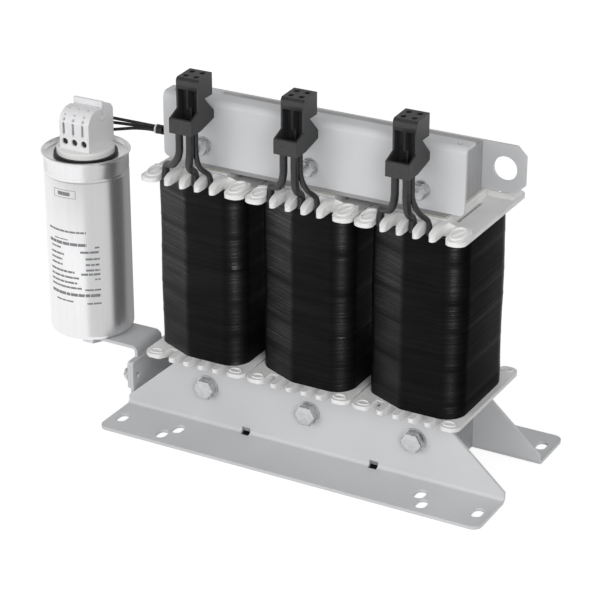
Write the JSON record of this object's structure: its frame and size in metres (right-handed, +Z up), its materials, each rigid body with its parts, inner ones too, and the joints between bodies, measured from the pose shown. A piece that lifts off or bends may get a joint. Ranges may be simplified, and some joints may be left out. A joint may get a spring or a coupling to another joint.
{
  "type": "harmonic filter",
  "caption": "Iron-core filter choke with combed bobbins, folded foot brackets, terminal blocks and a cylindrical capacitor on a side bracket.",
  "frame": {"origin": "on the mounting plane, under the axis of the middle coil and midway between the outer slots", "axes": "+X along the row of coils, away from the capacitor; +Y to the rear, away from the terminal blocks; +Z up"},
  "size_m": [0.4644, 0.176, 0.328],
  "materials": {
    "core_steel": "sheared lamination edges under varnish",
    "gap_spacer": "dull insulating board",
    "sheet_grey": "satin light grey",
    "bolt_steel": "zinc-plated, satin",
    "bobbin_white": "smooth moulded",
    "winding_tape": "black tape in overlapping turns",
    "terminal_black": "smooth moulded",
    "lead_black": "soft sheen",
    "screw_steel": "dull",
    "can_aluminium": "drawn, half bright",
    "seal_black": "dull",
    "base_white": "smooth moulded",
    "head_grey": "smooth moulded"
  },
  "bodies": {
    "root": {"air_gap_spacers": "gap_spacer", "bobbin_left": "bobbin_white", "bobbin_middle": "bobbin_white", "bobbin_right": "bobbin_white", "bracket_fixing_bolts": "bolt_steel", "bracket_fixing_washers": "bolt_steel", "capacitor_bracket": "sheet_grey", "capacitor_can": "can_aluminium", "capacitor_lead_left": "lead_black", "capacitor_lead_middle": "lead_black", "capacitor_lead_right": "lead_black", "capacitor_seal": "seal_black", "capacitor_stud": "bolt_steel", "capacitor_stud_nut": "bolt_steel", "capacitor_stud_washer": "bolt_steel", "capacitor_terminal_head": "head_grey", "coil_finish_lead_left": "lead_black", "coil_finish_lead_middle": "lead_black", "coil_finish_lead_right": "lead_black", "coil_start_lead_left": "lead_black", "coil_start_lead_middle": "lead_black", "coil_start_lead_right": "lead_black", "coil_tap_lead_left": "lead_black", "coil_tap_lead_middle": "lead_black", "coil_tap_lead_right": "lead_black", "core_e_stack": "core_steel", "core_i_yoke": "core_steel", "front_foot_bracket": "sheet_grey", "lead_sleeve": "seal_black", "lead_tie": "base_white", "left_end_plate": "sheet_grey", "lifting_plate": "sheet_grey", "lower_clamp_bolts": "bolt_steel", "lower_clamp_nuts": "bolt_steel", "lower_clamp_washers": "bolt_steel", "rear_foot_bracket": "sheet_grey", "terminal_base_disc": "base_white", "terminal_block_left": "terminal_black", "terminal_block_middle": "terminal_black", "terminal_block_right": "terminal_black", "terminal_screws": "screw_steel", "upper_clamp_bolts": "bolt_steel", "upper_clamp_nuts": "bolt_steel", "upper_clamp_washers": "bolt_steel", "upper_front_plate": "sheet_grey", "winding_left": "winding_tape", "winding_middle": "winding_tape", "winding_right": "winding_tape"}
  },
  "joints": []
}
